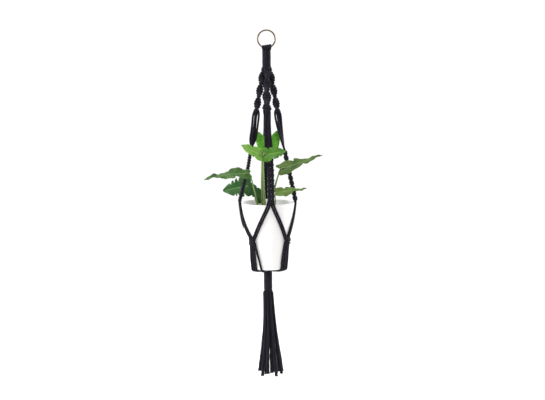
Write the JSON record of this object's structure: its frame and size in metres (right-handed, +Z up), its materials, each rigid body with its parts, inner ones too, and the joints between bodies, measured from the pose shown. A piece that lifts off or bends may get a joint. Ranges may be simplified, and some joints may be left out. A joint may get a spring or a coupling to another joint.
{
  "type": "hanging macrame planter",
  "caption": "Knotted cotton plant hanger on a metal ring, with a tapered pot and a leafy plant in its cradle and a tassel below.",
  "frame": {"origin": "where the ring rests on its hook, at the inner top of the ring", "axes": "+Z up along the hanger; the ring stands in the XZ plane; the legs are at -Y (front), +X (right), +Y (back) and -X (left)"},
  "size_m": [0.3043, 0.1585, 0.8987],
  "materials": {
    "brass": "satin, slightly tarnished",
    "cotton_cord": "matte twisted cotton",
    "pot_glaze": "matte white glaze",
    "soil": "crumbly",
    "leaf": "waxy"
  },
  "bodies": {
    "hanger": {"base_cords_1": "cotton_cord", "base_cords_2": "cotton_cord", "base_cords_3": "cotton_cord", "base_cords_4": "cotton_cord", "base_gather": "cotton_cord", "cradle_knot_1": "cotton_cord", "cradle_knot_2": "cotton_cord", "cradle_knot_3": "cotton_cord", "cradle_knot_4": "cotton_cord", "cradle_pair_01": "cotton_cord", "cradle_pair_02": "cotton_cord", "cradle_pair_03": "cotton_cord", "cradle_pair_04": "cotton_cord", "cradle_pair_05": "cotton_cord", "cradle_pair_06": "cotton_cord", "cradle_pair_07": "cotton_cord", "cradle_pair_08": "cotton_cord", "leg_cords_back": "cotton_cord", "leg_cords_front": "cotton_cord", "leg_cords_left": "cotton_cord", "leg_cords_right": "cotton_cord", "leg_sennit_back": "cotton_cord", "leg_sennit_front": "cotton_cord", "leg_sennit_left": "cotton_cord", "leg_sennit_right": "cotton_cord", "leg_spiral_back": "cotton_cord", "leg_spiral_front": "cotton_cord", "leg_spiral_left": "cotton_cord", "leg_spiral_right": "cotton_cord", "lower_wrap": "cotton_cord", "ring_loops": "cotton_cord", "upper_core": "cotton_cord", "upper_wrap": "cotton_cord"},
    "potted_plant": {"leaf_1_top_left": "leaf", "leaf_2_top_right": "leaf", "leaf_3_back": "leaf", "leaf_4_left_high": "leaf", "leaf_5_left_low": "leaf", "leaf_6_centre_small": "leaf", "leaf_7_right_high": "leaf", "leaf_8_right_low": "leaf", "pot": "pot_glaze", "soil": "soil"},
    "ring": {"ring": "brass"},
    "tassel": {"tassel_strand_01": "cotton_cord", "tassel_strand_02": "cotton_cord", "tassel_strand_03": "cotton_cord", "tassel_strand_04": "cotton_cord", "tassel_strand_05": "cotton_cord", "tassel_strand_06": "cotton_cord", "tassel_strand_07": "cotton_cord", "tassel_strand_08": "cotton_cord", "tassel_strand_09": "cotton_cord", "tassel_strand_10": "cotton_cord", "tassel_strand_11": "cotton_cord", "tassel_strand_12": "cotton_cord", "tassel_strand_13": "cotton_cord", "tassel_strand_14": "cotton_cord", "tassel_strand_15": "cotton_cord", "tassel_strand_16": "cotton_cord"}
  },
  "joints": [
    {"name": "hanger_swing", "type": "hinge", "parent": "ring", "child": "hanger", "pos_m": [0, 0, -0.043], "axis": [1, 0, 0], "range_deg": [-45, 45]},
    {"name": "tassel_swing", "type": "hinge", "parent": "hanger", "child": "tassel", "pos_m": [0, 0, -0.664], "axis": [0, 1, 0], "range_deg": [-40, 40]},
    {"name": "pot_turn", "type": "hinge", "parent": "hanger", "child": "potted_plant", "pos_m": [0, 0, -0.611], "axis": [0, 0, 1], "range_deg": [-5, 5]}
  ]
}
